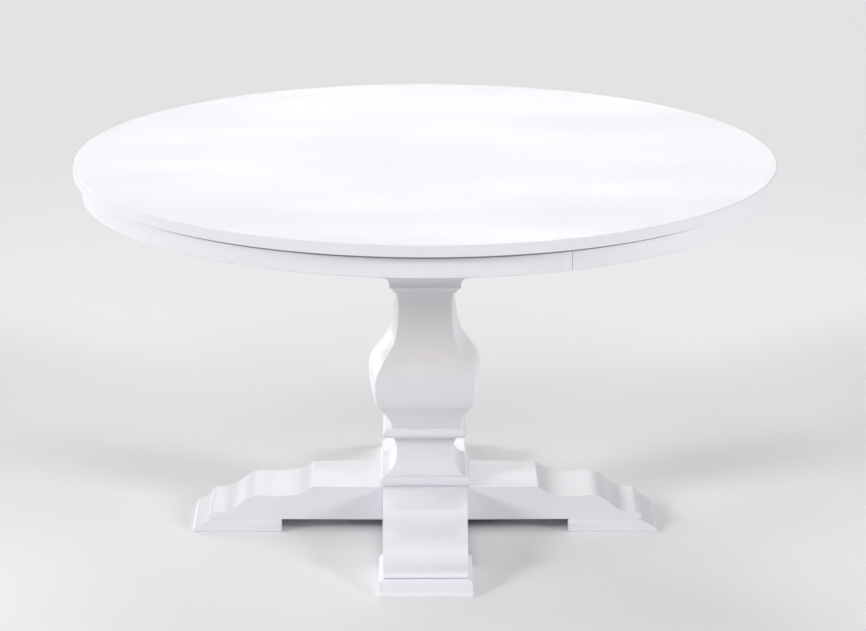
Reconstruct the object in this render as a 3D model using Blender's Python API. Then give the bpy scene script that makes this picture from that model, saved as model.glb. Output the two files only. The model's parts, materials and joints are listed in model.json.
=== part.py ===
"""Round pedestal table: a 1.4 m disc top with a bent apron, on a square vase-shaped column
that stands on four cross legs with foot pads and levelling screws.

Metres, +Z up. The origin is on the floor, under the centre of the top. The front leg points
to -Y, the right leg to +X.
"""

import math

import bmesh
import bpy
from mathutils import Matrix

MM = 0.001
GAP = 0.3 * MM

# ---- driving dimensions (metres) ----
TABLE_HEIGHT = 760 * MM
TOP_RADIUS = 700 * MM
TOP_THICKNESS = 22 * MM
TOP_ARRIS = 1.6 * MM
TOP_FACETS = 128

APRON_RADIUS = 683 * MM
APRON_THICKNESS = 20 * MM
APRON_BOTTOM = 694 * MM
APRON_ARRIS = 2.2 * MM
APRON_JOINT_DEG = 21.0  # start of the front closing strip, from the front towards +X
APRON_CLOSER_DEG = 1.9
APRON_HALF_FACETS = 56

SPLICE_DEPTH = 18 * MM
SPLICE_HALF_DEG = 5.0
SPLICE_HEIGHT = 30 * MM

BEARER_LENGTH = 1240 * MM
BEARER_WIDTH = 60 * MM
BEARER_HEIGHT = 34 * MM
BEARER_OFFSET = 125 * MM

PLATE_SIDE = 360 * MM
PLATE_THICKNESS = 18 * MM

COLUMN_BORE = 16 * MM
FRONT_CROWN = 0.012  # how far the front and rear faces of the vase bow out, as a share of the half width
# the same for its left and right faces, which are fullest over the shoulder: (height in mm, share)
FLANK_BOW = (
    (200.0, 0.085),
    (262.0, 0.087),
    (290.0, 0.105),
    (302.0, 0.122),
    (315.0, 0.134),
    (323.0, 0.149),
    (332.0, 0.182),
    (342.0, 0.223),
    (353.0, 0.260),
    (365.0, 0.315),
    (377.0, 0.343),
    (392.0, 0.322),
    (406.0, 0.264),
    (419.0, 0.224),
    (432.0, 0.208),
    (445.0, 0.200),
    (458.0, 0.165),
    (480.0, 0.100),
    (510.0, 0.060),
)
NECK_CROWN = 0.0175
CAPITAL_BOTTOM = 496 * MM
VASE_BOTTOM = 214 * MM
COLLAR_BOTTOM = 195 * MM
NECK_BOTTOM = 116 * MM
HUB_HALF = 86 * MM
LEG_TOP = 94.5 * MM
LEG_UNDERSIDE = 25.2 * MM
LEG_FLAT_END = 228.5 * MM
LEG_TOE = 440 * MM
LEG_TOE_HALF = 81.8 * MM

PAD_INNER = 291 * MM
PAD_OUTER = 471.5 * MM
PAD_HALF = 91.3 * MM
PAD_TOP_HALF = 84.6 * MM
PAD_LIP = 8 * MM
PAD_SIDE = 20.3 * MM
PAD_TOP = 24.9 * MM
PAD_SLOPE_START = 446.5 * MM
PAD_SLOPE_END = 437.1 * MM

LEVELLER_RADIUS_OUT = 360 * MM  # distance of each levelling screw from the table's axis
STUD_DIAMETER = 8 * MM
INSERT_DIAMETER = 14 * MM
GLIDE_DIAMETER = 26 * MM

ROD_DIAMETER = 12 * MM
SPIDER_ARM = 165 * MM
SPIDER_HALF = 35 * MM
SPIDER_THICKNESS = 4 * MM

LEG_ANGLES = {"right": 0.0, "rear": 90.0, "left": 180.0, "front": 270.0}


# ---- scene helpers ----
for old in list(bpy.data.objects):
    bpy.data.objects.remove(old, do_unlink=True)


def material(name, colour, roughness, metallic=0.0):
    made = bpy.data.materials.new(name)
    made.use_nodes = True
    shader = made.node_tree.nodes["Principled BSDF"]
    shader.inputs["Base Color"].default_value = (*colour, 1.0)
    shader.inputs["Roughness"].default_value = roughness
    shader.inputs["Metallic"].default_value = metallic
    made.diffuse_color = (*colour, 1.0)
    return made


PAINT = material("white_paint", (0.86, 0.85, 0.87), 0.45)
BARE_WOOD = material("bare_wood", (0.62, 0.45, 0.28), 0.65)
STEEL = material("zinc_steel", (0.62, 0.63, 0.65), 0.35, 1.0)
BLACK_STEEL = material("black_steel", (0.06, 0.06, 0.065), 0.45, 1.0)
PLASTIC = material("glide_plastic", (0.08, 0.08, 0.08), 0.55)


def add(name, bm, finish, smooth=False):
    """A named object from a bmesh, its faces turned outwards."""
    bmesh.ops.recalc_face_normals(bm, faces=bm.faces)
    mesh = bpy.data.meshes.new(name)
    bm.to_mesh(mesh)
    bm.free()
    mesh.materials.append(finish)
    obj = bpy.data.objects.new(name, mesh)
    bpy.context.scene.collection.objects.link(obj)
    if smooth:
        mesh.shade_smooth()
        mesh.set_sharp_from_angle(angle=math.radians(30))
    return obj


def cut(target, cutter, operation="DIFFERENCE"):
    modifier = target.modifiers.new("bool_" + cutter.name, "BOOLEAN")
    modifier.operation = operation
    modifier.solver = "EXACT"
    modifier.object = cutter
    cutter.hide_render = True
    cutter.display_type = "WIRE"


def turned(rows, facets, phase=0.0):
    """A bmesh turned about Z from (radius, height) rows. A radius of 0 ends it in a point."""
    bm = bmesh.new()
    rings = []
    for radius, height in rows:
        if radius == 0:
            rings.append([bm.verts.new((0, 0, height))])
            continue
        ring = []
        for k in range(facets):
            a = phase + 2 * math.pi * k / facets
            ring.append(bm.verts.new((radius * math.cos(a), radius * math.sin(a), height)))
        rings.append(ring)
    for low, high in zip(rings, rings[1:]):
        for k in range(facets):
            n = (k + 1) % facets
            if len(low) == 1:
                bm.faces.new((low[0], high[k], high[n]))
            elif len(high) == 1:
                bm.faces.new((low[k], low[n], high[0]))
            else:
                bm.faces.new((low[k], low[n], high[n], high[k]))
    if len(rings[0]) > 1:
        bm.faces.new(rings[0])
    if len(rings[-1]) > 1:
        bm.faces.new(rings[-1])
    return bm


def tube(outer, inner, low, high, facets):
    """A bmesh of a plain ring with square edges."""
    bm = bmesh.new()
    loops = []
    for radius, height in ((outer, low), (outer, high), (inner, high), (inner, low)):
        loops.append(
            [
                bm.verts.new(
                    (
                        radius * math.cos(2 * math.pi * k / facets),
                        radius * math.sin(2 * math.pi * k / facets),
                        height,
                    )
                )
                for k in range(facets)
            ]
        )
    for i in range(4):
        a, b = loops[i], loops[(i + 1) % 4]
        for k in range(facets):
            n = (k + 1) % facets
            bm.faces.new((a[k], a[n], b[n], b[k]))
    return bm


def box(size, centre):
    bm = bmesh.new()
    bmesh.ops.create_cube(bm, size=1.0)
    bmesh.ops.scale(bm, vec=size, verts=bm.verts)
    bmesh.ops.translate(bm, vec=centre, verts=bm.verts)
    return bm


def moved(bm, x=0.0, y=0.0, z=0.0, turn_deg=0.0):
    bmesh.ops.transform(
        bm,
        matrix=Matrix.Rotation(math.radians(turn_deg), 4, "Z") @ Matrix.Translation((x, y, z)),
        verts=bm.verts,
    )
    return bm


def bezier(p0, p1, p2, p3, steps):
    """Points on a cubic, without its first point."""
    points = []
    for i in range(1, steps + 1):
        t = i / steps
        u = 1 - t
        points.append(
            tuple(
                u**3 * a + 3 * u * u * t * b + 3 * u * t * t * c + t**3 * d
                for a, b, c, d in zip(p0, p1, p2, p3)
            )
        )
    return points


def flank_bow(height):
    """How far the vase's left and right faces bow out at this height, as a share of the half width."""
    z = height / MM
    for (z0, b0), (z1, b1) in zip(FLANK_BOW, FLANK_BOW[1:]):
        if z <= z1:
            return b0 + (b1 - b0) * (z - z0) / (z1 - z0)
    return FLANK_BOW[-1][1]


def square_section(levels, per_side=6, front_crown=0.0, flank_crown=0.0):
    """A closed square-section solid through (half width, height) levels, faces slightly crowned."""
    bm = bmesh.new()
    rings = []
    for half, height in levels:
        ring = []
        for side in range(4):
            a = side * math.pi / 2
            crown = flank_crown if side % 2 else front_crown
            if callable(crown):
                crown = crown(height)
            for k in range(per_side):
                t = -1 + 2 * k / per_side
                x, y = t * half, -half * (1 + crown * (1 - t * t))
                ring.append(
                    bm.verts.new(
                        (
                            x * math.cos(a) - y * math.sin(a),
                            x * math.sin(a) + y * math.cos(a),
                            height,
                        )
                    )
                )
        rings.append(ring)
    count = 4 * per_side
    for low, high in zip(rings, rings[1:]):
        for k in range(count):
            n = (k + 1) % count
            bm.faces.new((low[k], low[n], high[n], high[k]))
    bm.faces.new(rings[0])
    bm.faces.new(rings[-1])
    return bm


def millimetres(points):
    return [(a * MM, b * MM) for a, b in points]


# ---- tabletop ----
top_low = TABLE_HEIGHT - TOP_THICKNESS
tabletop = add(
    "tabletop",
    turned(
        [
            (TOP_RADIUS - TOP_ARRIS, top_low),
            (TOP_RADIUS, top_low + TOP_ARRIS),
            (TOP_RADIUS, TABLE_HEIGHT - TOP_ARRIS),
            (TOP_RADIUS - 0.3 * TOP_ARRIS, TABLE_HEIGHT - 0.3 * TOP_ARRIS),
            (TOP_RADIUS - TOP_ARRIS, TABLE_HEIGHT),
        ],
        TOP_FACETS,
    ),
    PAINT,
)


# ---- apron: two bent halves, two closing strips, two splice blocks ----
def arc_strip(inner, outer, low, high, start_deg, end_deg, facets, arris=0.0):
    """A strip bent about Z. Angles run from the front (-Y) towards +X."""
    bm = bmesh.new()
    section = [(inner, low), (outer, low), (outer, high), (inner, high)]
    if arris:
        section[1:2] = [
            (outer - arris, low),
            (outer - 0.3 * arris, low + 0.3 * arris),
            (outer, low + arris),
        ]
    rows = []
    for i in range(facets + 1):
        a = math.radians(start_deg + (end_deg - start_deg) * i / facets)
        rows.append([bm.verts.new((r * math.sin(a), -r * math.cos(a), h)) for r, h in section])
    count = len(section)
    for one, two in zip(rows, rows[1:]):
        for k in range(count):
            n = (k + 1) % count
            bm.faces.new((one[k], one[n], two[n], two[k]))
    bm.faces.new(rows[0])
    bm.faces.new(rows[-1])
    return bm


apron_top = top_low - GAP
gap_deg = math.degrees(GAP / APRON_RADIUS)
apron_inner = APRON_RADIUS - APRON_THICKNESS
joint_end = APRON_JOINT_DEG + APRON_CLOSER_DEG
for name, start, end, facets in (
    ("apron_half_right", joint_end + gap_deg, APRON_JOINT_DEG + 180 - gap_deg, APRON_HALF_FACETS),
    ("apron_half_left", joint_end + 180 + gap_deg, APRON_JOINT_DEG + 360 - gap_deg, APRON_HALF_FACETS),
    ("apron_closer_front", APRON_JOINT_DEG, joint_end, 2),
    ("apron_closer_rear", APRON_JOINT_DEG + 180, joint_end + 180, 2),
):
    add(
        name,
        arc_strip(apron_inner, APRON_RADIUS, APRON_BOTTOM, apron_top, start, end, facets, APRON_ARRIS),
        PAINT,
    )
for name, centre in (("splice_block_front", 0.0), ("splice_block_rear", 180.0)):
    middle = APRON_JOINT_DEG + APRON_CLOSER_DEG / 2 + centre
    add(
        name,
        arc_strip(
            apron_inner - GAP - SPLICE_DEPTH,
            apron_inner - GAP,
            apron_top - SPLICE_HEIGHT,
            apron_top - GAP,
            middle - SPLICE_HALF_DEG,
            middle + SPLICE_HALF_DEG,
            6,
        ),
        BARE_WOOD,
    )

# ---- bearers and mounting plate ----
bearer_top = top_low - GAP
bearer_low = bearer_top - BEARER_HEIGHT
plate_top = bearer_low - GAP
plate_low = plate_top - PLATE_THICKNESS
bearers = {}
for name, sign in (("bearer_front", -1), ("bearer_rear", 1)):
    bearers[name] = add(
        name,
        box(
            (BEARER_LENGTH, BEARER_WIDTH, BEARER_HEIGHT),
            (0, sign * BEARER_OFFSET, bearer_low + BEARER_HEIGHT / 2),
        ),
        BARE_WOOD,
    )
mounting_plate = add(
    "mounting_plate",
    box((PLATE_SIDE, PLATE_SIDE, PLATE_THICKNESS), (0, 0, plate_low + PLATE_THICKNESS / 2)),
    PAINT,
)

# ---- column: stacked square blocks on a tie rod ----
capital_top = plate_low - GAP
capital_profile = (
    [(62.6, 496.0), (63.2, 498.0)]
    + bezier((63.2, 498.0), (64.3, 501.0), (67.0, 505.5), (71.8, 507.6), 4)
    + [(71.8, 515.2)]
    + bezier((71.8, 515.2), (72.6, 522.0), (76.5, 529.0), (84.0, 531.5), 5)
    + [(86.0, 533.5), (86.0, 548.0), (84.0, 550.0)]
    + [(80.0, 552.0), (80.0, capital_top / MM)]
)
capital = add("capital", square_section(millimetres(capital_profile), 4), PAINT)

vase_profile = (
    [(66.0, VASE_BOTTOM / MM), (66.6, 218.0)]
    + bezier((66.6, 218.0), (72.0, 231.0), (82.0, 250.0), (91.5, 262.0), 4)
    + bezier((91.5, 262.0), (98.0, 272.0), (101.0, 288.0), (101.0, 308.0), 5)
    + bezier((101.0, 308.0), (101.0, 332.0), (88.0, 352.0), (76.0, 368.0), 7)
    + bezier((76.0, 368.0), (62.5, 386.0), (58.0, 404.0), (55.4, 432.0), 6)
    + bezier((55.4, 432.0), (53.4, 453.0), (53.0, 480.0), (57.5, CAPITAL_BOTTOM / MM - 0.3), 6)
)
vase = add("vase_column", square_section(millimetres(vase_profile), 6, FRONT_CROWN, flank_bow), PAINT)


def ring_profile(half, root, low, high, steps):
    """A half-round bead between two heights, from the root half width out to half."""
    middle, radius = (low + high) / 2, (high - low) / 2
    rows = []
    for i in range(steps + 1):
        a = -math.pi / 2 + math.pi * i / steps
        rows.append((root + (half - root) * math.cos(a), middle + radius * math.sin(a)))
    return rows


collar = add(
    "collar_ring",
    square_section(
        millimetres(ring_profile(84.5, 73.0, COLLAR_BOTTOM / MM, VASE_BOTTOM / MM - 0.3, 8)), 2
    ),
    PAINT,
)
neck_profile = (
    [(82.5, NECK_BOTTOM / MM)]
    + bezier((82.5, NECK_BOTTOM / MM), (68.0, 121.0), (57.0, 137.0), (57.0, 160.0), 7)
    + bezier((57.0, 160.0), (57.0, 176.0), (60.5, 188.0), (68.0, COLLAR_BOTTOM / MM - 0.3), 5)
)
neck = add("lower_neck", square_section(millimetres(neck_profile), 6, NECK_CROWN, NECK_CROWN), PAINT)
base_ring = add(
    "base_ring",
    square_section(
        millimetres(
            [(86.5, LEG_TOP / MM + 0.3)]
            + ring_profile(90.0, 84.5, LEG_TOP / MM + 1.5, NECK_BOTTOM / MM - 0.3, 8)
        ),
        2,
        0.0,
    ),
    PAINT,
)
hub = add(
    "hub_block",
    box(
        (2 * HUB_HALF, 2 * HUB_HALF, LEG_TOP - LEG_UNDERSIDE),
        (0, 0, (LEG_TOP + LEG_UNDERSIDE) / 2),
    ),
    PAINT,
)
bore = add("cut_rod_bore", turned([(COLUMN_BORE / 2, 0.0), (COLUMN_BORE / 2, 0.705)], 20), BARE_WOOD)
for piece in (capital, vase, collar, neck, base_ring, hub, mounting_plate):
    cut(piece, bore)

# ---- legs ----
leg_root = HUB_HALF + GAP
leg_outline = (
    [(leg_root / MM, LEG_UNDERSIDE / MM), (leg_root / MM, LEG_TOP / MM), (LEG_FLAT_END / MM, LEG_TOP / MM)]
    + bezier((228.5, 94.5), (236.0, 84.0), (262.0, 73.8), (306.0, 73.8), 8)
    + bezier((306.0, 73.8), (317.0, 73.8), (321.0, 75.8), (331.0, 75.8), 3)
    + bezier((331.0, 75.8), (351.0, 75.8), (362.0, 70.0), (373.0, 59.8), 5)
    + bezier((373.0, 59.8), (384.0, 49.5), (396.0, 40.2), (421.0, 40.0), 6)
    + bezier((421.0, 40.0), (432.0, 39.8), (LEG_TOE / MM, 37.0), (LEG_TOE / MM, 31.0), 4)
    + bezier((LEG_TOE / MM, 31.0), (LEG_TOE / MM, 27.6), (436.0, LEG_UNDERSIDE / MM), (431.0, LEG_UNDERSIDE / MM), 3)
)


def leg_half(x):
    """Half the leg's thickness at distance x from the axis: it tapers evenly to the toe."""
    share = (x - HUB_HALF) / (LEG_TOE - HUB_HALF)
    return HUB_HALF + (LEG_TOE_HALF - HUB_HALF) * share


def leg_bmesh():
    bm = bmesh.new()
    sides = []
    for sign in (-1, 1):
        sides.append(
            [bm.verts.new((x * MM, sign * leg_half(x * MM), z * MM)) for x, z in leg_outline]
        )
    count = len(leg_outline)
    for k in range(count):
        n = (k + 1) % count
        bm.faces.new((sides[0][k], sides[0][n], sides[1][n], sides[1][k]))
    bm.faces.new(sides[0])
    bm.faces.new(sides[1])
    return bm


def pad_bmesh():
    bm = bmesh.new()
    v = bm.verts.new
    corner = {}
    for sign in (-1, 1):
        corner[sign] = [
            v((PAD_INNER, sign * PAD_HALF, 0)),
            v((PAD_OUTER, sign * PAD_HALF, 0)),
            v((PAD_OUTER, sign * PAD_HALF, PAD_LIP)),
            v((PAD_SLOPE_START, sign * PAD_HALF, PAD_SIDE)),
            v((PAD_INNER, sign * PAD_HALF, PAD_SIDE)),
            v((PAD_SLOPE_END, sign * PAD_TOP_HALF, PAD_TOP)),
            v((PAD_INNER, sign * PAD_TOP_HALF, PAD_TOP)),
        ]
    a, b = corner[-1], corner[1]
    bm.faces.new((a[0], a[1], a[2], a[3], a[4]))
    bm.faces.new((b[4], b[3], b[2], b[1], b[0]))
    bm.faces.new((a[4], a[3], a[5], a[6]))
    bm.faces.new((b[6], b[5], b[3], b[4]))
    bm.faces.new((a[6], a[5], b[5], b[6]))
    bm.faces.new((a[3], a[2], b[2], b[3], b[5], a[5]))
    bm.faces.new((a[1], b[1], b[2], a[2]))
    bm.faces.new((a[0], b[0], b[1], a[1]))
    bm.faces.new((a[0], a[4], a[6], b[6], b[4], b[0]))
    return bm


# A loose tenon joins each leg to the hub.
TENON_HALF_LENGTH = 26 * MM
TENON_WIDTH = 70 * MM
TENON_HEIGHT = 22 * MM
TENON_Z = 62 * MM
SPIDER_TOP = LEG_UNDERSIDE - GAP
SPIDER_SCREW_OUT = 130 * MM

for side, angle in LEG_ANGLES.items():
    leg = add("leg_" + side, moved(leg_bmesh(), turn_deg=angle), PAINT)
    pad = add("foot_pad_" + side, moved(pad_bmesh(), turn_deg=angle), PAINT)

    # loose tenon and its mortises
    add(
        "leg_tenon_" + side,
        moved(
            box((2 * TENON_HALF_LENGTH, TENON_WIDTH, TENON_HEIGHT), (leg_root - GAP / 2, 0, TENON_Z)),
            turn_deg=angle,
        ),
        BARE_WOOD,
    )
    mortise = add(
        "cut_mortise_" + side,
        moved(
            box(
                (2 * TENON_HALF_LENGTH + 2 * MM, TENON_WIDTH + 2 * GAP, TENON_HEIGHT + 2 * GAP),
                (leg_root - GAP / 2, 0, TENON_Z),
            ),
            turn_deg=angle,
        ),
        BARE_WOOD,
    )
    cut(leg, mortise)
    cut(hub, mortise)

    # levelling screw: the insert in the leg, the stud through the pad, the glide in its recess
    well = add(
        "cut_well_" + side,
        moved(
            turned([(INSERT_DIAMETER / 2 + GAP, 15 * MM), (INSERT_DIAMETER / 2 + GAP, 56 * MM)], 20),
            x=LEVELLER_RADIUS_OUT,
            turn_deg=angle,
        ),
        BARE_WOOD,
    )
    cut(leg, well)
    recess = add(
        "cut_recess_" + side,
        moved(
            turned(
                [
                    (GLIDE_DIAMETER / 2 + 2 * MM, -5 * MM),
                    (GLIDE_DIAMETER / 2 + 2 * MM, 14 * MM),
                    (STUD_DIAMETER / 2 + 1.5 * MM, 14 * MM),
                    (STUD_DIAMETER / 2 + 1.5 * MM, 40 * MM),
                ],
                24,
            ),
            x=LEVELLER_RADIUS_OUT,
            turn_deg=angle,
        ),
        BARE_WOOD,
    )
    cut(pad, recess)
    add(
        "threaded_insert_" + side,
        moved(
            tube(INSERT_DIAMETER / 2, STUD_DIAMETER / 2 + GAP, 25.6 * MM, 41.6 * MM, 16),
            x=LEVELLER_RADIUS_OUT,
            turn_deg=angle,
        ),
        STEEL,
    )
    # The stud and the glide have their origins on the screw's axis.
    a = math.radians(angle)
    place = (LEVELLER_RADIUS_OUT * math.cos(a), LEVELLER_RADIUS_OUT * math.sin(a), 0)
    stud = add(
        "levelling_stud_" + side,
        turned(
            [
                (STUD_DIAMETER / 2 - 1 * MM, 3.9 * MM),
                (STUD_DIAMETER / 2, 4.9 * MM),
                (STUD_DIAMETER / 2, 45 * MM),
                (STUD_DIAMETER / 2 - 1 * MM, 46 * MM),
            ],
            16,
        ),
        STEEL,
    )
    stud.location = place
    hexagon = add(
        "join_hexagon_" + side,
        turned([(7.5 * MM, 9.2 * MM), (7.5 * MM, 12.6 * MM)], 6),
        STEEL,
    )
    hexagon.location = place
    cut(stud, hexagon, "UNION")
    glide = add(
        "levelling_glide_" + side,
        turned(
            [
                (GLIDE_DIAMETER / 2 - 1 * MM, 0.0),
                (GLIDE_DIAMETER / 2, 1 * MM),
                (GLIDE_DIAMETER / 2, 4 * MM),
                (GLIDE_DIAMETER / 2 - 1.5 * MM, 5.5 * MM),
                (7.5 * MM, 6 * MM),
                (7 * MM, 8.7 * MM),
                (STUD_DIAMETER / 2 + GAP, 8.7 * MM),
                (STUD_DIAMETER / 2 + GAP, 3.5 * MM),
            ],
            20,
        ),
        PLASTIC,
    )
    glide.location = place

    # wood screw that holds the spider plate to the leg
    screw = add(
        "spider_screw_" + side,
        moved(
            turned(
                [
                    (5.5 * MM, SPIDER_TOP - SPIDER_THICKNESS - 2.6 * MM),
                    (5.5 * MM, SPIDER_TOP - SPIDER_THICKNESS - GAP),
                    (2.5 * MM, SPIDER_TOP - SPIDER_THICKNESS - GAP),
                    (2.5 * MM, SPIDER_TOP + 28 * MM),
                    (0, SPIDER_TOP + 33 * MM),
                ],
                12,
            ),
            x=SPIDER_SCREW_OUT,
            turn_deg=angle,
        ),
        STEEL,
    )
    pilot = add(
        "cut_pilot_" + side,
        moved(
            turned([(2.5 * MM + GAP, 10 * MM), (2.5 * MM + GAP, 60 * MM)], 12),
            x=SPIDER_SCREW_OUT,
            turn_deg=angle,
        ),
        STEEL,
    )
    cut(leg, pilot)

# ---- spider plate: a steel cross under the hub ----
bm = bmesh.new()
outline = []
for quarter in range(4):
    a = quarter * math.pi / 2
    for x, y in ((SPIDER_HALF, -SPIDER_HALF), (SPIDER_ARM, -SPIDER_HALF), (SPIDER_ARM, SPIDER_HALF)):
        outline.append((x * math.cos(a) - y * math.sin(a), x * math.sin(a) + y * math.cos(a)))
low = [bm.verts.new((x, y, SPIDER_TOP - SPIDER_THICKNESS)) for x, y in outline]
high = [bm.verts.new((x, y, SPIDER_TOP)) for x, y in outline]
for k in range(12):
    n = (k + 1) % 12
    bm.faces.new((low[k], low[n], high[n], high[k]))
bm.faces.new(low)
bm.faces.new(high)
spider = add("spider_plate", bm, BLACK_STEEL)
rod_hole = add(
    "cut_rod_hole",
    turned([(ROD_DIAMETER / 2 + 0.5 * MM, 10 * MM), (ROD_DIAMETER / 2 + 0.5 * MM, 35 * MM)], 20),
    STEEL,
)
cut(spider, rod_hole)
for side in LEG_ANGLES:
    cut(spider, bpy.data.objects["cut_pilot_" + side])

# ---- tie rod, washers and nuts ----
spider_low = SPIDER_TOP - SPIDER_THICKNESS
WASHER_THICKNESS = 2.5 * MM
NUT_HEIGHT = 9 * MM
lower_washer = (spider_low - GAP - WASHER_THICKNESS, spider_low - GAP)
lower_nut = (lower_washer[0] - GAP - NUT_HEIGHT, lower_washer[0] - GAP)
upper_washer = (plate_top + GAP, plate_top + GAP + WASHER_THICKNESS)
upper_nut = (upper_washer[1] + GAP, upper_washer[1] + GAP + NUT_HEIGHT)
add(
    "tie_rod",
    turned(
        [
            (ROD_DIAMETER / 2 - 1 * MM, lower_nut[0] - 2 * MM),
            (ROD_DIAMETER / 2, lower_nut[0] - 1 * MM),
            (ROD_DIAMETER / 2, upper_nut[1] + 6 * MM),
            (ROD_DIAMETER / 2 - 1 * MM, upper_nut[1] + 7 * MM),
        ],
        20,
    ),
    STEEL,
)
rod_clear = ROD_DIAMETER / 2 + GAP
add("tie_rod_washer_upper", tube(18 * MM, rod_clear, *upper_washer, 24), STEEL)
add("tie_rod_washer_lower", tube(18 * MM, rod_clear, *lower_washer, 24), STEEL)
for name, (low_z, high_z) in (("tie_rod_nut_upper", upper_nut), ("tie_rod_nut_lower", lower_nut)):
    nut = add(name, turned([(10.4 * MM, low_z), (10.4 * MM, high_z)], 6), STEEL)
    hole = add(
        "cut_" + name,
        turned([(rod_clear, low_z - 5 * MM), (rod_clear, high_z + 5 * MM)], 20),
        STEEL,
    )
    cut(nut, hole)

# ---- bolts from the mounting plate up into the bearers ----
BOLT_X = 140 * MM
number = 0
for bearer_name, y_sign in (("bearer_front", -1), ("bearer_rear", 1)):
    for x_sign in (-1, 1):
        number += 1
        x, y = x_sign * BOLT_X, y_sign * BEARER_OFFSET
        bolt = add(
            f"plate_bolt_{number}",
            moved(
                turned(
                    [
                        (8 * MM, plate_low - 5 * MM),
                        (9 * MM, plate_low - 4 * MM),
                        (9 * MM, plate_low - GAP),
                        (4 * MM, plate_low - GAP),
                        (4 * MM, bearer_low + 24 * MM),
                        (3 * MM, bearer_low + 25 * MM),
                    ],
                    16,
                ),
                x=x,
                y=y,
            ),
            STEEL,
        )
        hole = add(
            f"cut_bolt_{number}",
            moved(
                turned(
                    [(4 * MM + GAP, plate_low - 5 * MM), (4 * MM + GAP, bearer_low + 28 * MM)], 16
                ),
                x=x,
                y=y,
            ),
            STEEL,
        )
        cut(mounting_plate, hole)
        cut(bearers[bearer_name], hole)

# ---- screws from the bearers up into the top ----
SCREW_X = 480 * MM
number = 0
for bearer_name, y_sign in (("bearer_front", -1), ("bearer_rear", 1)):
    for x_sign in (-1, 1):
        number += 1
        x, y = x_sign * SCREW_X, y_sign * BEARER_OFFSET
        add(
            f"top_screw_{number}",
            moved(
                turned(
                    [
                        (5 * MM, bearer_low + 1 * MM),
                        (2.5 * MM, bearer_low + 4 * MM),
                        (2.5 * MM, top_low + 11 * MM),
                        (0, top_low + 14 * MM),
                    ],
                    12,
                ),
                x=x,
                y=y,
            ),
            STEEL,
        )
        hole = add(
            f"cut_screw_{number}",
            moved(
                turned(
                    [
                        (8.4 * MM, bearer_low - 2 * MM),
                        (2.5 * MM + GAP, bearer_low + 4.6 * MM),
                        (2.5 * MM + GAP, top_low + 15 * MM),
                    ],
                    12,
                ),
                x=x,
                y=y,
            ),
            STEEL,
        )
        cut(bearers[bearer_name], hole)
        cut(tabletop, hole)
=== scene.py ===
"""Looks of the round pedestal table: fine meshes and painted-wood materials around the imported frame."""

import json
import math

import bmesh
import bpy
from mathutils import Matrix, Vector

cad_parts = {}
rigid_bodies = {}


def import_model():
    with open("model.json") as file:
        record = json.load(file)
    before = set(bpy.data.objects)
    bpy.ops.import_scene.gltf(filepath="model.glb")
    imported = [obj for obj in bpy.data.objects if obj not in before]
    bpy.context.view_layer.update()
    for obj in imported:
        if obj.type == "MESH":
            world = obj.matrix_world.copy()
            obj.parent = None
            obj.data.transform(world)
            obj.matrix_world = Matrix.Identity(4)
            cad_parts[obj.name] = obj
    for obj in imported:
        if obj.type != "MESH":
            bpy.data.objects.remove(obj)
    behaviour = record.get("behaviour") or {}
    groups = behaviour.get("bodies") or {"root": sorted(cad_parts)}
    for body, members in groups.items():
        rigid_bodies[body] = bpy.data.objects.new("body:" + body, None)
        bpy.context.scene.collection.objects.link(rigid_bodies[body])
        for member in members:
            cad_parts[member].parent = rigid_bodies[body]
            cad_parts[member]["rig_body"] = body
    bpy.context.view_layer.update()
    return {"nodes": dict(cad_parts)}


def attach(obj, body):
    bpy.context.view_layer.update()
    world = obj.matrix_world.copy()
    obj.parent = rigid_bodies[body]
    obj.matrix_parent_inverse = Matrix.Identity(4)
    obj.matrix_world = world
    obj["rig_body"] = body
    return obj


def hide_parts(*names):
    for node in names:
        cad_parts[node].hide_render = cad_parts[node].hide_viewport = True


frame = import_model()

MM = 0.001
GAP = 0.3 * MM
nodes = frame["nodes"]
SIDES = {"right": 0.0, "rear": 90.0, "left": 180.0, "front": 270.0}

# ---------------------------------------------------------------- camera
camera_data = bpy.data.cameras.new("camera")
camera = bpy.data.objects.new("camera", camera_data)
bpy.context.scene.collection.objects.link(camera)
FOCAL_PX, YAW, PITCH, ROLL = 3458.7, 0.0073, 0.2764, 0.0018
camera_data.sensor_fit = "HORIZONTAL"
camera_data.sensor_width = 36.0
camera_data.lens = FOCAL_PX * 36.0 / 866.0
camera_data.clip_end = 200.0
forward = Vector(
    (math.sin(YAW) * math.cos(PITCH), math.cos(YAW) * math.cos(PITCH), -math.sin(PITCH))
)
right = Vector((math.cos(YAW), -math.sin(YAW), 0.0))
up = right.cross(forward)
cam_x = right * math.cos(ROLL) + up * math.sin(ROLL)
cam_y = -right * math.sin(ROLL) + up * math.cos(ROLL)
basis = Matrix((cam_x, cam_y, -forward)).transposed()
camera.matrix_world = Matrix.Translation((-0.0329, -6.731, 2.3404)) @ basis.to_4x4()
bpy.context.scene.camera = camera

# ---------------------------------------------------------------- world and light
scene = bpy.context.scene
scene.view_settings.view_transform = "Standard"
scene.view_settings.look = "None"
world = bpy.data.worlds.new("studio")
scene.world = world
world.use_nodes = True
world_shader = world.node_tree.nodes["Background"]
world_shader.inputs["Color"].default_value = (0.985, 0.985, 1.0, 1.0)
world_shader.inputs["Strength"].default_value = 0.05


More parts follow.
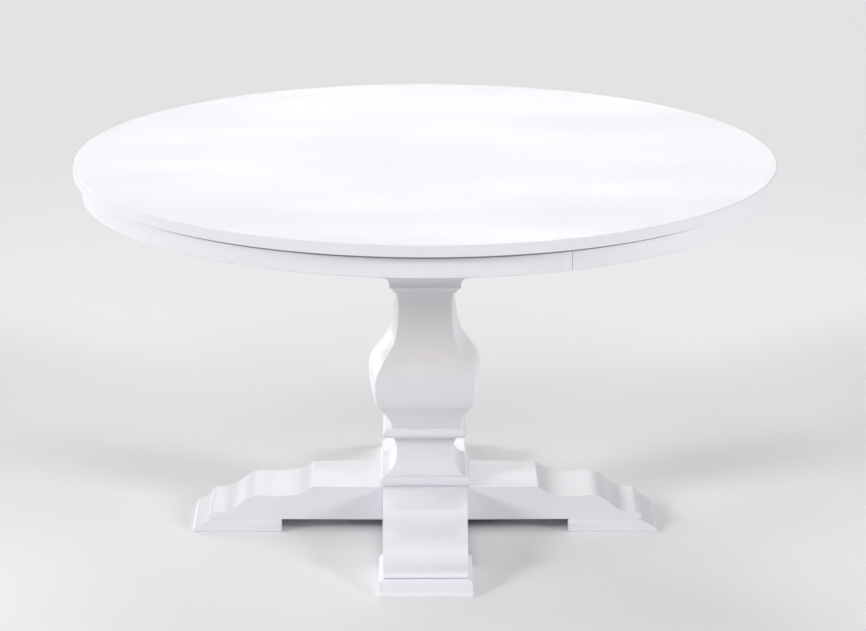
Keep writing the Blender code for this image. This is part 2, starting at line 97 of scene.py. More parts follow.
def softbox(azimuth, elevation, strength, colour=(1.0, 1.0, 1.0), spread=24.0):
    """A wide, far, even light. Azimuth 0 is the camera's side, 90 the right, 270 the left."""
    a, e = math.radians(azimuth), math.radians(elevation)
    away = Vector((math.sin(a) * math.cos(e), -math.cos(a) * math.cos(e), math.sin(e)))
    data = bpy.data.lights.new(f"softbox_{azimuth:03d}_{elevation:02d}", "SUN")
    data.angle = math.radians(spread)
    data.energy = strength
    data.color = colour
    lamp = bpy.data.objects.new(data.name, data)
    lamp.location = away * 6.0
    lamp.rotation_euler = (-away).to_track_quat("-Z", "Y").to_euler()
    scene.collection.objects.link(lamp)


LIGHTS = (
    (0, 30, 0.12, 24),
    (0, 45, 0.25, 24),
    (45, 45, 0.17, 24),
    (180, 15, 0.46, 24),
    (180, 45, 0.36, 24),
    (225, 30, 0.52, 24),
    (270, 30, 0.10, 24),
    (315, 45, 0.20, 24),
    (60, 22, 1.10, 14),
    (90, 9, 0.62, 14),
    (225, 9, 0.92, 14),
    (270, 22, 0.25, 14),
    (300, 22, 1.36, 14),
    (330, 60, 0.09, 14),
)
for azimuth, elevation, strength, spread in LIGHTS:
    softbox(azimuth, elevation, strength, spread=spread)


# ---------------------------------------------------------------- materials
class Tree:
    """A small helper to lay out shader nodes."""

    def __init__(self, name):
        self.material = bpy.data.materials.new(name)
        self.material.use_nodes = True
        self.tree = self.material.node_tree
        self.shader = self.tree.nodes["Principled BSDF"]
        self.count = 0

    def node(self, kind, **settings):
        made = self.tree.nodes.new(kind)
        self.count += 1
        made.location = (-260 * (1 + self.count % 7), 320 - 190 * (self.count // 7))
        for key, value in settings.items():
            setattr(made, key, value)
        return made

    def link(self, source, target):
        self.tree.links.new(source, target)

    def value(self, target, number):
        if isinstance(number, (int, float, tuple)):
            target.default_value = number
        else:
            self.link(number, target)

    def math(self, operation, a, b=0.0, clamp=False):
        made = self.node("ShaderNodeMath", operation=operation, use_clamp=clamp)
        self.value(made.inputs[0], a)
        self.value(made.inputs[1], b)
        return made.outputs[0]

    def scaled(self, vector, scale, location=(0, 0, 0), rotation=(0, 0, 0)):
        made = self.node("ShaderNodeMapping")
        made.inputs["Scale"].default_value = scale
        made.inputs["Location"].default_value = location
        made.inputs["Rotation"].default_value = rotation
        self.link(vector, made.inputs["Vector"])
        return made.outputs[0]

    def noise(self, vector, scale, detail=4.0, roughness=0.55, distortion=0.0):
        made = self.node("ShaderNodeTexNoise")
        made.inputs["Scale"].default_value = scale
        made.inputs["Detail"].default_value = detail
        made.inputs["Roughness"].default_value = roughness
        made.inputs["Distortion"].default_value = distortion
        self.link(vector, made.inputs["Vector"])
        return made.outputs[0]

    def ramp(self, factor, stops):
        made = self.node("ShaderNodeValToRGB")
        points = made.color_ramp.elements
        while len(points) < len(stops):
            points.new(0.5)
        for point, (position, colour) in zip(points, stops):
            point.position = position
            point.color = (*colour, 1.0) if len(colour) == 3 else colour
        self.link(factor, made.inputs["Fac"])
        return made.outputs["Color"]

    def map_range(self, factor, low, high, from_low=0.0, from_high=1.0):
        made = self.node("ShaderNodeMapRange")
        made.inputs["From Min"].default_value = from_low
        made.inputs["From Max"].default_value = from_high
        made.inputs["To Min"].default_value = low
        made.inputs["To Max"].default_value = high
        self.link(factor, made.inputs["Value"])
        return made.outputs[0]

    def bump(self, height, strength, distance, normal=None):
        made = self.node("ShaderNodeBump")
        made.inputs["Strength"].default_value = strength
        made.inputs["Distance"].default_value = distance
        self.link(height, made.inputs["Height"])
        if normal is not None:
            self.link(normal, made.inputs["Normal"])
        return made.outputs[0]

    def mix(self, factor, a, b):
        made = self.node("ShaderNodeMix", data_type="RGBA")
        self.value(made.inputs[0], factor)
        for socket, colour in ((made.inputs[6], a), (made.inputs[7], b)):
            if isinstance(colour, tuple):
                socket.default_value = (*colour, 1.0)
            else:
                self.link(colour, socket)
        return made.outputs[2]

    def place(self, grain):
        """A coordinate whose X runs along the grain, in metres."""
        spot = self.node("ShaderNodeTexCoord").outputs["Object"]
        if grain == "ring":  # along the apron, round the Z axis
            split = self.node("ShaderNodeSeparateXYZ")
            self.link(spot, split.inputs[0])
            x, y, z = split.outputs
            angle = self.math("ARCTAN2", x, y)
            radius = self.math(
                "SQRT", self.math("ADD", self.math("MULTIPLY", x, x), self.math("MULTIPLY", y, y))
            )
            join = self.node("ShaderNodeCombineXYZ")
            self.link(self.math("MULTIPLY", angle, 0.683), join.inputs[0])
            self.link(radius, join.inputs[1])
            self.link(z, join.inputs[2])
            return join.outputs[0]
        turn = {
            "x": (0, 0, 0),
            "y": (0, 0, -math.pi / 2),
            "z": (0, math.pi / 2, 0),
        }[grain]
        return self.scaled(spot, (1, 1, 1), rotation=turn)


WHITE = (0.830, 0.822, 0.868)
WHITE_WARM = (0.814, 0.802, 0.842)


def painted(name, grain, seed, brush=1.0, roughness=(0.36, 0.50), whites=(WHITE, WHITE_WARM)):
    """White satin paint brushed along the grain over wood whose pores still show a little."""
    t = Tree(name)
    spot = t.scaled(t.place(grain), (1, 1, 1), location=(seed * 1.37, seed * 0.73, seed * 2.11))
    broad = t.noise(t.scaled(spot, (1.0, 2.2, 2.2)), 2.4, 3.0, 0.5)
    streaks = t.noise(t.scaled(spot, (5.0, 420.0, 420.0)), 1.0, 4.0, 0.62, 0.15)
    bands = t.noise(t.scaled(spot, (1.6, 46.0, 46.0)), 1.0, 5.0, 0.6, 0.35)
    pores = t.noise(t.scaled(spot, (34.0, 900.0, 900.0)), 1.0, 2.0, 0.5)
    peel = t.noise(spot, 620.0, 2.0, 0.5)
    # colour: two whites in broad soft patches, with the brush marks a shade darker
    tone = t.mix(t.map_range(broad, 0.0, 0.55, 0.35, 0.7), *whites)
    marks = t.math("MULTIPLY", t.map_range(streaks, 0.0, 1.0, 0.46, 0.74), 0.16 * brush)
    tone = t.mix(marks, tone, (0.74, 0.72, 0.76))
    pore_mask = t.map_range(pores, 0.0, 1.0, 0.63, 0.72)
    tone = t.mix(t.math("MULTIPLY", pore_mask, 0.10 * brush), tone, (0.60, 0.57, 0.58))
    t.link(tone, t.shader.inputs["Base Color"])
    t.link(
        t.map_range(
            t.math("ADD", t.math("MULTIPLY", streaks, 0.6), t.math("MULTIPLY", broad, 0.4)),
            roughness[0],
            roughness[1],
            0.3,
            0.7,
        ),
        t.shader.inputs["Roughness"],
    )
    relief = t.bump(bands, 0.28 * brush, 0.0006)
    relief = t.bump(streaks, 0.30 * brush, 0.00022, relief)
    relief = t.bump(pore_mask, 0.25 * brush, -0.00012, relief)
    relief = t.bump(peel, 0.10, 0.00012, relief)
    t.link(relief, t.shader.inputs["Normal"])
    t.shader.inputs["Specular IOR Level"].default_value = 0.42
    return t.material


def bare_wood(name, grain, seed):
    t = Tree(name)
    spot = t.scaled(t.place(grain), (1, 1, 1), location=(seed * 0.91, seed * 0.37, seed * 1.3))
    rings = t.noise(t.scaled(spot, (1.1, 26.0, 26.0)), 1.0, 5.0, 0.6, 0.8)
    fibres = t.noise(t.scaled(spot, (14.0, 700.0, 700.0)), 1.0, 3.0, 0.6)
    tone = t.ramp(
        rings,
        [
            (0.25, (0.40, 0.345, 0.29)),
            (0.45, (0.52, 0.465, 0.405)),
            (0.60, (0.46, 0.405, 0.345)),
            (0.78, (0.57, 0.52, 0.46)),
        ],
    )
    tone = t.mix(t.math("MULTIPLY", t.map_range(fibres, 0, 1, 0.5, 0.75), 0.35), tone, (0.30, 0.24, 0.185))
    t.link(tone, t.shader.inputs["Base Color"])
    t.link(t.map_range(fibres, 0.55, 0.75, 0.3, 0.7), t.shader.inputs["Roughness"])
    relief = t.bump(fibres, 0.35, 0.0002)
    t.link(t.bump(rings, 0.2, 0.0004, relief), t.shader.inputs["Normal"])
    return t.material


def metal(name, colour, dark, roughness, seed=0.0):
    t = Tree(name)
    spot = t.scaled(t.node("ShaderNodeTexCoord").outputs["Object"], (1, 1, 1), location=(seed, seed, 0))
    cloud = t.noise(spot, 90.0, 4.0, 0.6)
    fine = t.noise(spot, 900.0, 3.0, 0.6)
    t.link(t.mix(t.map_range(cloud, 0, 1, 0.4, 0.7), colour, dark), t.shader.inputs["Base Color"])
    t.link(t.map_range(fine, roughness[0], roughness[1], 0.3, 0.7), t.shader.inputs["Roughness"])
    t.link(t.bump(fine, 0.2, 0.00008), t.shader.inputs["Normal"])
    t.shader.inputs["Metallic"].default_value = 1.0
    return t.material


def coated(name, colour, dark, roughness, grain_scale):
    """Powder coat, moulded plastic, or the grey painted shade in the apron's reveal: an even colour with a fine
    pebble.
    """
    t = Tree(name)
    spot = t.node("ShaderNodeTexCoord").outputs["Object"]
    pebble = t.noise(spot, grain_scale, 2.0, 0.5)
    cloud = t.noise(spot, 30.0, 3.0, 0.5)
    t.link(t.mix(t.map_range(cloud, 0, 1, 0.35, 0.7), colour, dark), t.shader.inputs["Base Color"])
    t.link(t.map_range(pebble, roughness[0], roughness[1], 0.3, 0.7), t.shader.inputs["Roughness"])
    t.link(t.bump(pebble, 0.35, 0.0001), t.shader.inputs["Normal"])
    return t.material


PAINT_TOP = painted("paint_top", "x", 1.0, brush=0.28)
PAINT_EDGE = painted("paint_apron", "ring", 2.0, brush=1.4)
PAINT_COLUMN = painted("paint_column", "z", 3.0)
PAINT_CAPITAL = painted("paint_capital", "x", 4.0)
# one white paint in two copies: painted light on the front and rear legs and pads (lighter, cooler), painted shade on
# the left and right legs, their pads and the hub (darker)
LEG_PAINT_LIT_AND_SHADED = {
    "x": painted("paint_leg_x_painted_shade", "x", 5.0, whites=((0.806, 0.796, 0.850), (0.790, 0.776, 0.826))),
    "y": painted("paint_leg_y_painted_light", "y", 6.0, whites=((0.884, 0.886, 0.952), (0.868, 0.868, 0.930))),
}
WOOD_X = bare_wood("bearer_wood", "x", 1.0)
WOOD_RING = bare_wood("splice_wood", "ring", 2.0)
WOOD_TENON = {"x": bare_wood("tenon_wood_x", "x", 3.0), "y": bare_wood("tenon_wood_y", "y", 4.0)}
ZINC = metal("zinc_plate", (0.66, 0.67, 0.69), (0.50, 0.51, 0.53), (0.24, 0.42))
BLACK_STEEL = coated("black_powder_coat", (0.030, 0.030, 0.032), (0.018, 0.018, 0.02), (0.38, 0.55), 1500.0)
# mid grey for the rebate under the top: painted shade that makes the reveal's line darker than its geometry shades it
REVEAL_PAINTED_SHADE = coated("reveal_painted_shade", (0.50, 0.49, 0.52), (0.42, 0.41, 0.44), (0.6, 0.75), 900.0)
PLASTIC = coated("glide_plastic", (0.035, 0.035, 0.037), (0.022, 0.022, 0.024), (0.42, 0.55), 2600.0)


# ---------------------------------------------------------------- mesh helpers
def make(name, points, faces, finish, sharp=38.0):
    mesh = bpy.data.meshes.new(name)
    mesh.from_pydata(points, [], faces)
    mesh.update()
    bm = bmesh.new()
    bm.from_mesh(mesh)
    bmesh.ops.recalc_face_normals(bm, faces=bm.faces)
    bm.to_mesh(mesh)
    bm.free()
    mesh.materials.append(finish)
    obj = bpy.data.objects.new(name, mesh)
    scene.collection.objects.link(obj)
    mesh.shade_smooth()
    mesh.set_sharp_from_angle(angle=math.radians(sharp))
    return obj


def weighted(obj):
    modifier = obj.modifiers.new("weighted", "WEIGHTED_NORMAL")
    modifier.keep_sharp = True
    modifier.weight = 60


def bevelled(obj, width, segments=3, angle=32.0, above=None, light_above=None):
    """Eases the sharp edges. With a height, only those that reach above it, and half as much above a second height."""
    modifier = obj.modifiers.new("arris", "BEVEL")
    modifier.width = width
    modifier.segments = segments
    if above is None:
        modifier.limit_method = "ANGLE"
        modifier.angle_limit = math.radians(angle)
    else:
        bm = bmesh.new()
        bm.from_mesh(obj.data)
        layer = bm.edges.layers.float.new("bevel_weight_edge")
        for e in bm.edges:
            if e.calc_face_angle(0.0) > math.radians(angle) and max(v.co.z for v in e.verts) > above:
                light = light_above is not None and max(v.co.z for v in e.verts) > light_above
                e[layer] = 0.5 if light else 1.0
        bm.to_mesh(obj.data)
        bm.free()
        modifier.limit_method = "WEIGHT"
    modifier.use_clamp_overlap = True
    modifier.harden_normals = False
    return modifier


def settle(obj, sharp=38.0):
    """Applies the modifiers, so that what follows works on the real mesh."""
    bpy.context.view_layer.update()
    graph = bpy.context.evaluated_depsgraph_get()
    mesh = bpy.data.meshes.new_from_object(obj.evaluated_get(graph))
    obj.modifiers.clear()
    obj.data = mesh
    mesh.shade_smooth()
    mesh.set_sharp_from_angle(angle=math.radians(sharp))


def cut(obj, cutters):
    for cutter in cutters:
        modifier = obj.modifiers.new("cut", "BOOLEAN")
        modifier.operation = "DIFFERENCE"
        modifier.solver = "EXACT"
        modifier.object = cutter


def bezier(p0, p1, p2, p3, steps):
    points = []
    for i in range(1, steps + 1):
        t = i / steps
        u = 1 - t
        points.append(
            tuple(
                u**3 * a + 3 * u * u * t * b + 3 * u * t * t * c + t**3 * d
                for a, b, c, d in zip(p0, p1, p2, p3)
            )
        )
    return points


def loft(rings, closed_path=False):
    """Quads between rings of equal length, with n-gon ends unless the path closes."""
    count = len(rings[0])
    points = [p for ring in rings for p in ring]
    faces = []
    spans = len(rings) if closed_path else len(rings) - 1
    for i in range(spans):
        a, b = i * count, ((i + 1) % len(rings)) * count
        for k in range(count):
            n = (k + 1) % count
            faces.append((a + k, a + n, b + n, b + k))
    if not closed_path:
        faces.append(tuple(range(count)))
        faces.append(tuple(range(len(points) - count, len(points))))
    return points, faces


def round_profile(corners, radii, steps=4):
    """A closed polygon with its corners rounded. Corners and radii in the same unit."""
    out = []
    count = len(corners)
    for i, (corner, radius) in enumerate(zip(corners, radii)):
        here = Vector(corner)
        if radius <= 0:
            out.append(tuple(here))
            continue
        before = (Vector(corners[i - 1]) - here).normalized()
        after = (Vector(corners[(i + 1) % count]) - here).normalized()
        half = before.angle(after) / 2
        reach = radius / math.tan(half)
        centre = here + (before + after).normalized() * (radius / math.sin(half))
        start, end = here + before * reach - centre, here + after * reach - centre
        sweep = start.angle_signed(end)
        for k in range(steps + 1):
            a = -sweep * k / steps
            c, s = math.cos(a), math.sin(a)
            out.append(
                (centre.x + start.x * c - start.y * s, centre.y + start.x * s + start.y * c)
            )
    return out


def cylinder(name, radius, low, high, x=0.0, y=0.0, facets=32, top_radius=None):
    top_radius = radius if top_radius is None else top_radius
    rings = []
    for r, z in ((radius, low), (top_radius, high)):
        rings.append(
            [
                (
                    x + r * math.cos(2 * math.pi * k / facets),
                    y + r * math.sin(2 * math.pi * k / facets),
                    z,
                )
                for k in range(facets)
            ]
        )
    obj = make(name, *loft(rings), ZINC)
    obj.hide_render = True
    return obj


def polar(distance, side, across=0.0):
    """A point at this distance out along a leg, in X and Y."""
    a = math.radians(SIDES[side])
    return (
        distance * math.cos(a) - across * math.sin(a),
        distance * math.sin(a) + across * math.cos(a),
    )


def finish_faces(obj, finish, where):
    """Gives the faces that the test picks another finish: bare wood where the painter doesn't reach, the apron's paint
    on the top's edge, and a painted shade in the apron's reveal.
    """
    obj.data.materials.append(finish)
    for polygon in obj.data.polygons:
        if where(polygon.center, polygon.normal):
            polygon.material_index = len(obj.data.materials) - 1


def stands_for(piece, node):
    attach(piece, nodes[node]["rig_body"])
    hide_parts(node)


spare = []

# ---------------------------------------------------------------- floor
floor_mesh = bpy.data.meshes.new("floor")
floor_mesh.from_pydata([(-40, -40, 0), (40, -40, 0), (40, 40, 0), (-40, 40, 0)], [], [(0, 1, 2, 3)])
floor = bpy.data.objects.new("floor", floor_mesh)
scene.collection.objects.link(floor)
t = Tree("studio_floor_painted_light_ring")
far = t.node("ShaderNodeVectorMath", operation="LENGTH")
t.link(t.node("ShaderNodeTexCoord").outputs["Object"], far.inputs[0])
# the floor is painted lighter in a ring from about 0.7 m to 3.4 m out from the centre: a painted pool of light that
# lifts the table's shadow there
t.link(
    t.ramp(
        t.math("MULTIPLY", far.outputs["Value"], 0.25),
        [(0.0, (0.895, 0.892, 0.902)), (0.17, (0.895, 0.892, 0.902)), (0.27, (0.985, 0.982, 0.99)),
         (0.55, (0.965, 0.962, 0.972)), (0.85, (0.895, 0.892, 0.902))],
    ),
    t.shader.inputs["Base Color"],
)
t.shader.inputs["Roughness"].default_value = 0.9
t.shader.inputs["Specular IOR Level"].default_value = 0.1
floor_mesh.materials.append(t.material)

# ---------------------------------------------------------------- tabletop
TOP_Z, TOP_LOW, TOP_RADIUS = 0.760, 0.738, 0.700
FACETS = 384
edge = round_profile(
    [(0.672, TOP_LOW), (TOP_RADIUS, TOP_LOW), (TOP_RADIUS, TOP_Z), (0.60, TOP_Z)],
    [0, 1.5 * MM, 2.0 * MM, 0],
    5,
)
edge = [(0.60, TOP_LOW)] + edge
rings = [
    [
        (r * math.cos(2 * math.pi * k / FACETS), r * math.sin(2 * math.pi * k / FACETS), z)
        for k in range(FACETS)
    ]
    for r, z in edge
]
tabletop = make("tabletop_fine", *loft(rings), PAINT_TOP)
screw_spots = [(sx * 0.480, sy * 0.125) for sy in (-1, 1) for sx in (-1, 1)]
cutters = [cylinder(f"cutter_top_{i}", 2.8 * MM, 0.70, TOP_LOW + 15 * MM, x, y, 24) for i, (x, y) in enumerate(screw_spots)]
cut(tabletop, cutters)
settle(tabletop)
spare += cutters
finish_faces(tabletop, PAINT_EDGE, lambda centre, normal: abs(normal.z) < 0.8)
finish_faces(tabletop, WOOD_X, lambda centre, normal: normal.z < -0.5 and math.hypot(centre.x, centre.y) < 0.672)
weighted(tabletop)
stands_for(tabletop, "tabletop")

# ---------------------------------------------------------------- apron
APRON_RADIUS, APRON_INNER, APRON_LOW, APRON_TOP = 0.683, 0.663, 0.694, TOP_LOW - GAP
JOINT, CLOSER = 21.0, 1.9


def bent(name, inner, outer, low, high, start, end, per_degree, finish, radii, eases=(0.5 * MM, 0.5 * MM), gap=(0.0, 0.0)):
    """A strip bent round the Z axis with eased arrises. Its two ends are eased as well, and a gap is a rebate along its top."""
    rows = []
    count = max(6, int((end - start) * per_degree))
    first, last = (math.degrees(ease / outer) for ease in eases)
    angles = [start, start + 0.3 * first, start + first]
    shrink = [eases[0], 0.3 * eases[0], 0.0]
    inner_angles = [start + first + (end - start - first - last) * i / count for i in range(1, count)]
    angles = angles + inner_angles + [end - last, end - 0.3 * last, end]
    shrink = shrink + [0.0] * len(inner_angles) + [0.0, 0.3 * eases[1], eases[1]]
    for a, s in zip(angles, shrink):
        a = math.radians(a)
        corners = [(inner + s, low + s), (outer - s, low + s)]
        if gap[0]:
            corners += [(outer - s, high - gap[0]), (outer - gap[1], high - gap[0]), (outer - gap[1], high)]
        else:
            corners += [(outer - s, high)]
        corners += [(inner + s, high)]
        section = round_profile(corners, radii, 4)
        rows.append([(r * math.sin(a), -r * math.cos(a), z) for r, z in section])
    obj = make(name, *loft(rows), finish, 50.0)
    weighted(obj)
    return obj


seam = math.degrees(0.35 * MM / APRON_RADIUS)
apron_radii = [1.5 * MM, 2.6 * MM, 0.4 * MM, 0, 0, 0]
REVEAL = (6.3 * MM, 3.0 * MM)
joint_end = JOINT + CLOSER
TIGHT, OPEN = 0.2 * MM, 0.9 * MM
for node, start, end, eases in (
    ("apron_half_right", joint_end + 1.6 * seam, JOINT + 180 - 0.3 * seam, (OPEN, TIGHT)),
    ("apron_half_left", joint_end + 180 + 1.6 * seam, JOINT + 360 - 0.3 * seam, (OPEN, TIGHT)),
    ("apron_closer_front", JOINT, joint_end, (TIGHT, OPEN)),
    ("apron_closer_rear", JOINT + 180, joint_end + 180, (TIGHT, OPEN)),
):
    piece = bent(
        node + "_fine", APRON_INNER, APRON_RADIUS, APRON_LOW, APRON_TOP, start, end, 1.6, PAINT_EDGE, apron_radii, eases, REVEAL
    )
    # the rebate along the apron's top gets the grey painted shade, a dark line where there is only shade
    finish_faces(
        piece,
        REVEAL_PAINTED_SHADE,
        lambda centre, normal: centre.z > APRON_TOP - REVEAL[0] - 0.1 * MM
        and math.hypot(centre.x, centre.y) > APRON_RADIUS - REVEAL[1] - 0.5 * MM
        and math.hypot(centre.x, centre.y) < APRON_RADIUS - 0.2 * MM,
    )
    finish_faces(
        piece,
        WOOD_RING,
        lambda centre, normal: normal.x * centre.x + normal.y * centre.y < -0.6 * math.hypot(centre.x, centre.y)
        and centre.z > APRON_LOW + 1.5 * MM,
    )
    stands_for(piece, node)
for node, middle in (("splice_block_front", 0.0), ("splice_block_rear", 180.0)):
    middle += JOINT + CLOSER / 2
    piece = bent(
        node + "_fine",
        APRON_INNER - GAP - 18 * MM,
        APRON_INNER - GAP,
        APRON_TOP - 30 * MM,
        APRON_TOP - GAP,
        middle - 5.0,
        middle + 5.0,
        2.0,
        WOOD_RING,
        [1.5 * MM, 0.4 * MM, 0.4 * MM, 0.4 * MM],
        (1.2 * MM, 1.2 * MM),
    )
    stands_for(piece, node)


# ---------------------------------------------------------------- column
def square_loft(name, profile, finish, crowns=(0.0, 0.0), arris=1.4, per_side=12, bore=8.0, sharp=38.0):
    """A square-section turning with eased arrises and a bore for the tie rod. Profile in millimetres."""
    corner_steps = 4
    rings = []

    def ring(half, z, ease):
        points = []
        for side in range(4):
            a = side * math.pi / 2
            c, s = math.cos(a), math.sin(a)
            share = ease / half
            crown = crowns[side % 2]
            if callable(crown):
                crown = crown(z)
            # the arris stands where the crowned faces on both sides of it meet
            local = []
            for k in range(per_side + 1):
                t = (-1 + share) + (2 - 2 * share) * k / per_side
                local.append((t * half, -half * (1 + crown * ((1 - share) ** 2 - t * t))))
            for k in range(1, corner_steps):
                b = -math.pi / 2 + (math.pi / 2) * k / corner_steps
                local.append((half - ease + ease * math.cos(b), -(half - ease) + ease * math.sin(b)))
            points += [((x * c - y * s) * MM, (x * s + y * c) * MM, z * MM) for x, y in local]
        return points

    for half, z in profile:
        rings.append(ring(half, z, arris))
    count = len(rings[0])

    def circle(z):
        # the bore's ring starts at the same corner as the outer ring, so the quads stay straight
        return [
            (
                bore * MM * math.cos(-3 * math.pi / 4 + 2 * math.pi * k / count),
                bore * MM * math.sin(-3 * math.pi / 4 + 2 * math.pi * k / count),
                z * MM,
            )
            for k in range(count)
        ]

    rings = rings + [circle(profile[-1][1]), circle(profile[0][1])]
    obj = make(name, *loft(rings, True), finish, sharp)
    weighted(obj)
    return obj


def bead(half, root, low, high, steps, ease=0.0):
    """A half-round bead between two heights."""
    middle, radius = (low + high) / 2, (high - low) / 2
    rows = []
    for i in range(steps + 1):
        a = -math.pi / 2 + math.pi * i / steps
        rows.append((root + (half - root) * math.cos(a), middle + radius * math.sin(a)))
    return rows


FRONT_CROWN, NECK_CROWN = 0.012, 0.0175
# how far the vase's left and right faces bow out, as a share of the half width: (height in mm, share)
FLANK_BOW = (
    (200.0, 0.085),
    (262.0, 0.087),
    (290.0, 0.105),
    (302.0, 0.122),
    (315.0, 0.134),
    (323.0, 0.149),
    (332.0, 0.182),
    (342.0, 0.223),
    (353.0, 0.260),
    (365.0, 0.315),
    (377.0, 0.343),
    (392.0, 0.322),
    (406.0, 0.264),
    (419.0, 0.224),
    (432.0, 0.208),
    (445.0, 0.200),
    (458.0, 0.165),
    (480.0, 0.100),
    (510.0, 0.060),
)


def flank_bow(z):
    for (z0, b0), (z1, b1) in zip(FLANK_BOW, FLANK_BOW[1:]):
        if z <= z1:
            return b0 + (b1 - b0) * (z - z0) / (z1 - z0) - 0.002
    return FLANK_BOW[-1][1]


plate_low = (TOP_LOW - GAP - 34 * MM - GAP - 18 * MM) / MM
capital_top = plate_low - 0.3
capital_profile = (
    [(62.6, 496.0), (63.2, 498.0)]
    + bezier((63.2, 498.0), (64.3, 501.0), (67.0, 505.5), (71.8, 507.6), 10)
    + [(71.8, 515.2)]
    + bezier((71.8, 515.2), (72.6, 522.0), (76.5, 529.0), (84.0, 531.5), 12)
    + bezier((84.0, 531.5), (85.6, 532.0), (86.0, 532.6), (86.0, 533.5), 3)
    + [(86.0, 548.0)]
    + bezier((86.0, 548.0), (86.0, 549.2), (85.2, 550.0), (84.0, 550.0), 4)
    + [(80.0, 552.0), (80.0, capital_top)]
)
vase_profile = (
    [(66.0, 214.0), (66.6, 218.0)]
    + bezier((66.6, 218.0), (72.0, 231.0), (82.0, 250.0), (91.5, 262.0), 16)
    + bezier((91.5, 262.0), (98.0, 272.0), (101.0, 288.0), (101.0, 308.0), 16)
    + bezier((101.0, 308.0), (101.0, 332.0), (88.0, 352.0), (76.0, 368.0), 20)
    + bezier((76.0, 368.0), (62.5, 386.0), (58.0, 404.0), (55.4, 432.0), 18)
    + bezier((55.4, 432.0), (53.4, 453.0), (53.0, 480.0), (57.5, 495.7), 16)
)
neck_profile = (
    [(82.5, 116.0)]
    + bezier((82.5, 116.0), (68.0, 121.0), (57.0, 137.0), (57.0, 160.0), 22)
    + bezier((57.0, 160.0), (57.0, 176.0), (60.5, 188.0), (68.0, 194.7), 14)
)
collar_profile = bead(84.5, 73.0, 195.0, 213.7, 18)
base_profile = [(86.5, 94.8)] + bead(90.0, 84.5, 96.0, 115.7, 18)

for node, profile, crowns in (
    ("capital", capital_profile, (0.0, 0.0)),
    ("vase_column", vase_profile, (FRONT_CROWN, flank_bow)),
    ("collar_ring", collar_profile, (0.0, 0.0)),
    ("lower_neck", neck_profile, (NECK_CROWN, NECK_CROWN)),
    ("base_ring", base_profile, (0.0, 0.0)),
):
    piece = square_loft(
        node + "_fine",
        profile,
        PAINT_COLUMN if node in ("vase_column", "lower_neck") else PAINT_CAPITAL,
        crowns,
    )
    stands_for(piece, node)

# ---------------------------------------------------------------- legs
HUB_HALF, LEG_TOP, LEG_UNDER, FLAT_END, TOE, TOE_HALF = 86.0, 94.5, 25.0, 228.5, 440.0, 81.8
leg_root = HUB_HALF + 0.3
leg_outline = (
    [(leg_root, LEG_UNDER), (leg_root, LEG_TOP), (FLAT_END, LEG_TOP)]
    + bezier((228.5, 94.5), (236.0, 84.0), (262.0, 73.8), (306.0, 73.8), 26)
    + bezier((306.0, 73.8), (317.0, 73.8), (321.0, 75.8), (331.0, 75.8), 10)
    + bezier((331.0, 75.8), (351.0, 75.8), (362.0, 70.0), (373.0, 59.8), 16)
    + bezier((373.0, 59.8), (384.0, 49.5), (396.0, 40.2), (421.0, 40.0), 18)
    + bezier((421.0, 40.0), (432.0, 39.8), (TOE, 37.0), (TOE, 31.0), 12)
    + bezier((TOE, 31.0), (TOE, 27.6), (436.0, LEG_UNDER), (431.0, LEG_UNDER), 8)
)


def leg_half(x):
    return HUB_HALF + (TOE_HALF - HUB_HALF) * (x - HUB_HALF) / (TOE - HUB_HALF)


def turned_points(points, side):
    a = math.radians(SIDES[side])
    c, s = math.cos(a), math.sin(a)
    return [((x * c - y * s) * MM, (x * s + y * c) * MM, z * MM) for x, y, z in points]


def box_points(low, high):
    (x0, y0, z0), (x1, y1, z1) = low, high
    points = [(x, y, z) for z in (z0, z1) for x, y in ((x0, y0), (x1, y0), (x1, y1), (x0, y1))]
    faces = [(0, 3, 2, 1), (4, 5, 6, 7), (0, 1, 5, 4), (1, 2, 6, 5), (2, 3, 7, 6), (3, 0, 4, 7)]
    return points, faces


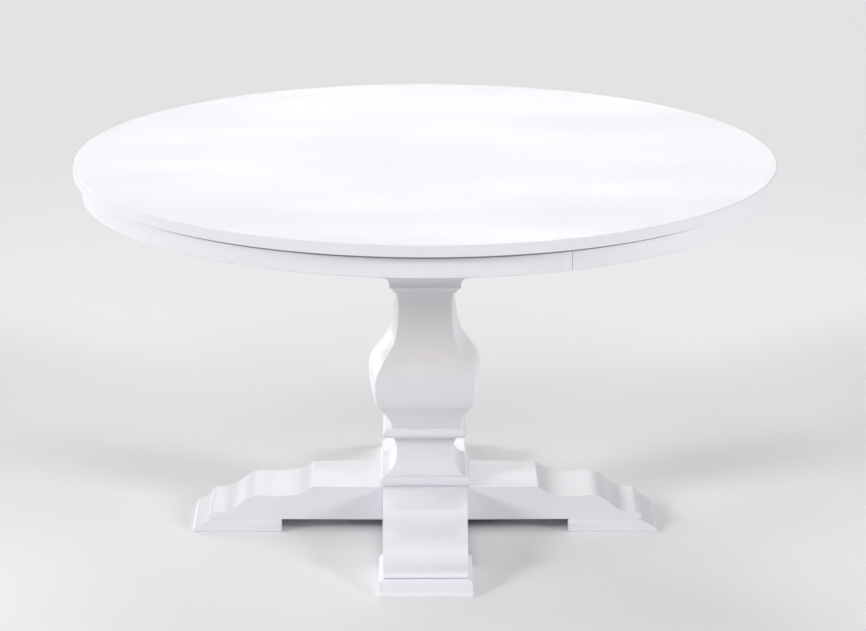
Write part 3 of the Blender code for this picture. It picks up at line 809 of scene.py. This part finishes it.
PAD = {"inner": 291.0, "outer": 471.5, "half": 91.3, "top_half": 84.6, "lip": 8.0, "side": 20.3, "top": 24.9}
for side in SIDES:
    grain = "x" if side in ("left", "right") else "y"
    # leg
    near = [(x, -leg_half(x), z) for x, z in leg_outline]
    far = [(x, leg_half(x), z) for x, z in leg_outline]
    count = len(leg_outline)
    faces = [(k, (k + 1) % count, count + (k + 1) % count, count + k) for k in range(count)]
    faces += [tuple(range(count)), tuple(range(count, 2 * count))]
    leg = make(f"leg_{side}_fine", turned_points(near + far, side), faces, LEG_PAINT_LIT_AND_SHADED[grain])
    bevelled(leg, 1.5 * MM, 3, 28.0, above=(LEG_UNDER + 1.0) * MM)
    settle(leg)
    points, faces = box_points(
        (leg_root - 27.15, -35.3, 50.7), (leg_root + 26.85, 35.3, 73.3)
    )
    mortise = make(f"cutter_mortise_{side}", turned_points(points, side), faces, ZINC)
    mortise.hide_render = True
    wx, wy = polar(0.360, side)
    well = cylinder(f"cutter_well_{side}", 7.3 * MM, 0.015, 0.056, wx, wy)
    px, py = polar(0.130, side)
    pilot = cylinder(f"cutter_pilot_{side}", 2.8 * MM, 0.010, 0.060, px, py, 24)
    cut(leg, [mortise, well, pilot])
    settle(leg)
    weighted(leg)
    stands_for(leg, "leg_" + side)
    spare += [mortise, well, pilot]

    # foot pad
    i, o, h, th, lip, sd, tp = (PAD[k] for k in ("inner", "outer", "half", "top_half", "lip", "side", "top"))
    points = []
    for sign in (-1, 1):
        points += [
            (i, sign * h, 0),
            (o, sign * h, 0),
            (o, sign * h, lip - 2.2),
            (o - 3.8, sign * h, lip + 1.87),
            (446.5, sign * h, sd),
            (i, sign * h, sd),
            (437.1, sign * th, tp),
            (i, sign * th, tp),
        ]
    faces = [
        (0, 1, 2, 3, 4, 5),
        (13, 12, 11, 10, 9, 8),
        (5, 4, 6, 7),
        (15, 14, 12, 13),
        (7, 6, 14, 15),
        (4, 3, 11, 12, 14, 6),
        (3, 2, 10, 11),
        (1, 9, 10, 2),
        (0, 8, 9, 1),
        (0, 5, 7, 15, 13, 8),
    ]
    pad = make(f"foot_pad_{side}_fine", turned_points(points, side), faces, LEG_PAINT_LIT_AND_SHADED[grain])
    bevelled(pad, 1.8 * MM, 3, 12.0, above=-1.0, light_above=1.0 * MM)
    settle(pad)
    recess = cylinder(f"cutter_recess_{side}", 15.0 * MM, -0.005, 0.014, wx, wy, 48)
    bore = cylinder(f"cutter_bore_{side}", 5.5 * MM, 0.010, 0.040, wx, wy)
    cut(pad, [recess, bore])
    settle(pad)
    weighted(pad)
    stands_for(pad, "foot_pad_" + side)
    spare += [recess, bore]

# ---------------------------------------------------------------- CAD nodes that keep their own mesh
def dress(node, finish, width=0.4 * MM):
    obj = nodes[node]
    obj.data.materials.clear()
    obj.data.materials.append(finish)
    weld = obj.modifiers.new("weld", "WELD")
    weld.merge_threshold = 1e-5
    bevelled(obj, width, 2, 40.0)
    weighted(obj)


# the hub takes the left and right legs' darker white, a painted shade
dress("hub_block", LEG_PAINT_LIT_AND_SHADED["x"], 0.8 * MM)
dress("mounting_plate", WOOD_X, 1.2 * MM)
for node in ("bearer_front", "bearer_rear"):
    dress(node, WOOD_X, 1.5 * MM)
dress("spider_plate", BLACK_STEEL, 0.6 * MM)
for side in SIDES:
    dress("leg_tenon_" + side, WOOD_TENON["x" if side in ("left", "right") else "y"], 0.8 * MM)
    dress("threaded_insert_" + side, ZINC, 0.2 * MM)
    dress("levelling_stud_" + side, ZINC, 0.2 * MM)
    dress("levelling_glide_" + side, PLASTIC, 0.3 * MM)
    dress("spider_screw_" + side, ZINC, 0.3 * MM)
for node in ("tie_rod", "tie_rod_nut_upper", "tie_rod_nut_lower", "tie_rod_washer_upper", "tie_rod_washer_lower"):
    dress(node, ZINC, 0.3 * MM)
for i in range(1, 5):
    dress(f"plate_bolt_{i}", ZINC, 0.4 * MM)
    dress(f"top_screw_{i}", ZINC, 0.2 * MM)

for cutter in spare:
    bpy.data.objects.remove(cutter, do_unlink=True)
